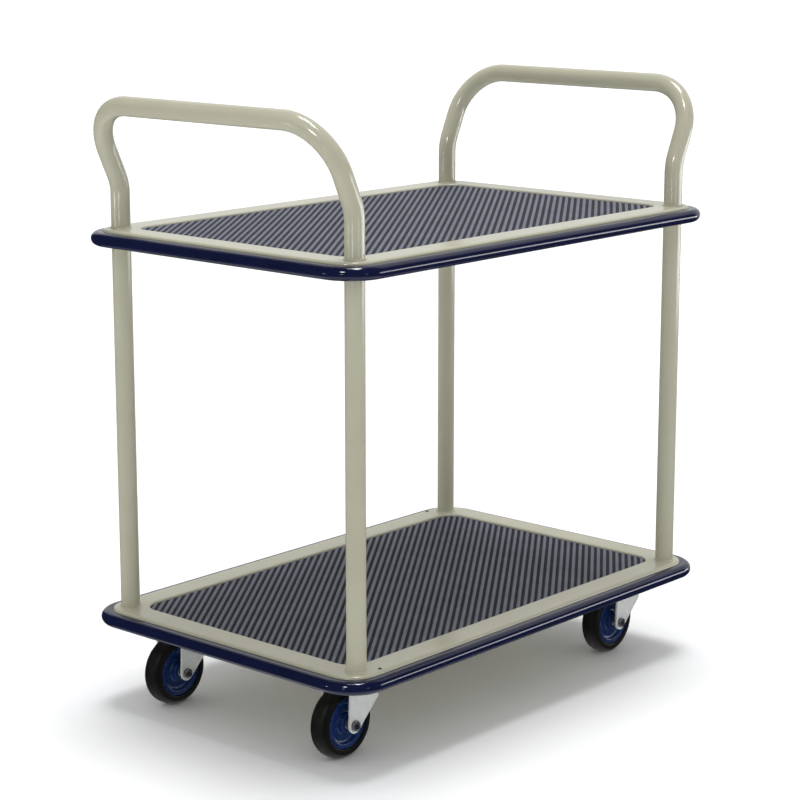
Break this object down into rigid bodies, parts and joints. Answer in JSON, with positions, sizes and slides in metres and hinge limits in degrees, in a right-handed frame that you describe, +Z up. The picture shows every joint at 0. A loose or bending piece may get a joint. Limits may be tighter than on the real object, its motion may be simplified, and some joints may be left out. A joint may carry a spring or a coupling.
{
  "type": "platform trolley",
  "caption": "Platform trolley with an upper and a lower deck, a fixed bent-tube handle at each end, ribbed rubber mats, edge bumpers and swivel casters.",
  "frame": {"origin": "on the floor, under the centre of the decks", "axes": "+X along the length towards the right-hand handle, +Y across the width towards the back, +Z up"},
  "size_m": [0.8326, 0.526, 0.879],
  "materials": {
    "cream_paint": "gloss cream powder coat",
    "navy_bumper": "glossy navy blue",
    "ribbed_rubber": "matt blue-grey with diagonal ribs",
    "zinc": "bright zinc plate",
    "navy_plastic": "moulded navy plastic",
    "tyre_rubber": "black solid rubber",
    "sleeve_steel": "plain steel"
  },
  "bodies": {
    "trolley": {"lower_deck": "cream_paint", "upper_deck": "cream_paint", "left_handle_tube": "cream_paint", "right_handle_tube": "cream_paint", "lower_channel_front": "cream_paint", "lower_channel_back": "cream_paint", "upper_channel_front": "cream_paint", "upper_channel_back": "cream_paint", "lower_mat": "ribbed_rubber", "upper_mat": "ribbed_rubber", "lower_bumper": "navy_bumper", "upper_bumper": "navy_bumper", "post_socket_left_front": "cream_paint", "deck_sleeve_left_front": "cream_paint", "caster_plate_left_front": "zinc", "kingpin_left_front": "zinc", "post_socket_left_back": "cream_paint", "deck_sleeve_left_back": "cream_paint", "caster_plate_left_back": "zinc", "kingpin_left_back": "zinc", "post_socket_right_front": "cream_paint", "deck_sleeve_right_front": "cream_paint", "caster_plate_right_front": "zinc", "kingpin_right_front": "zinc", "post_socket_right_back": "cream_paint", "deck_sleeve_right_back": "cream_paint", "caster_plate_right_back": "zinc", "kingpin_right_back": "zinc"},
    "swivel_left_front": {"caster_fork_left_front": "zinc", "axle_bolt_left_front": "zinc", "axle_nut_left_front": "zinc"},
    "wheel_left_front": {"wheel_core_left_front": "navy_plastic", "tyre_left_front": "tyre_rubber", "axle_sleeve_left_front": "sleeve_steel"},
    "swivel_left_back": {"caster_fork_left_back": "zinc", "axle_bolt_left_back": "zinc", "axle_nut_left_back": "zinc"},
    "wheel_left_back": {"wheel_core_left_back": "navy_plastic", "tyre_left_back": "tyre_rubber", "axle_sleeve_left_back": "sleeve_steel"},
    "swivel_right_front": {"caster_fork_right_front": "zinc", "axle_bolt_right_front": "zinc", "axle_nut_right_front": "zinc"},
    "wheel_right_front": {"wheel_core_right_front": "navy_plastic", "tyre_right_front": "tyre_rubber", "axle_sleeve_right_front": "sleeve_steel"},
    "swivel_right_back": {"caster_fork_right_back": "zinc", "axle_bolt_right_back": "zinc", "axle_nut_right_back": "zinc"},
    "wheel_right_back": {"wheel_core_right_back": "navy_plastic", "tyre_right_back": "tyre_rubber", "axle_sleeve_right_back": "sleeve_steel"}
  },
  "joints": [
    {"name": "swivel_turn_left_front", "type": "hinge", "parent": "trolley", "child": "swivel_left_front", "pos_m": [-0.302, -0.1635, 0.11], "axis": [0, 0, 1], "continuous": true},
    {"name": "wheel_spin_left_front", "type": "hinge", "parent": "swivel_left_front", "child": "wheel_left_front", "pos_m": [-0.321, -0.1635, 0.05], "axis": [0, 1, 0], "continuous": true},
    {"name": "swivel_turn_left_back", "type": "hinge", "parent": "trolley", "child": "swivel_left_back", "pos_m": [-0.302, 0.1635, 0.11], "axis": [0, 0, 1], "continuous": true},
    {"name": "wheel_spin_left_back", "type": "hinge", "parent": "swivel_left_back", "child": "wheel_left_back", "pos_m": [-0.321, 0.1635, 0.05], "axis": [0, 1, 0], "continuous": true},
    {"name": "swivel_turn_right_front", "type": "hinge", "parent": "trolley", "child": "swivel_right_front", "pos_m": [0.302, -0.1635, 0.11], "axis": [0, 0, 1], "continuous": true},
    {"name": "wheel_spin_right_front", "type": "hinge", "parent": "swivel_right_front", "child": "wheel_right_front", "pos_m": [0.283, -0.1635, 0.05], "axis": [0, 1, 0], "continuous": true},
    {"name": "swivel_turn_right_back", "type": "hinge", "parent": "trolley", "child": "swivel_right_back", "pos_m": [0.302, 0.1635, 0.11], "axis": [0, 0, 1], "continuous": true},
    {"name": "wheel_spin_right_back", "type": "hinge", "parent": "swivel_right_back", "child": "wheel_right_back", "pos_m": [0.283, 0.1635, 0.05], "axis": [0, 1, 0], "continuous": true}
  ]
}
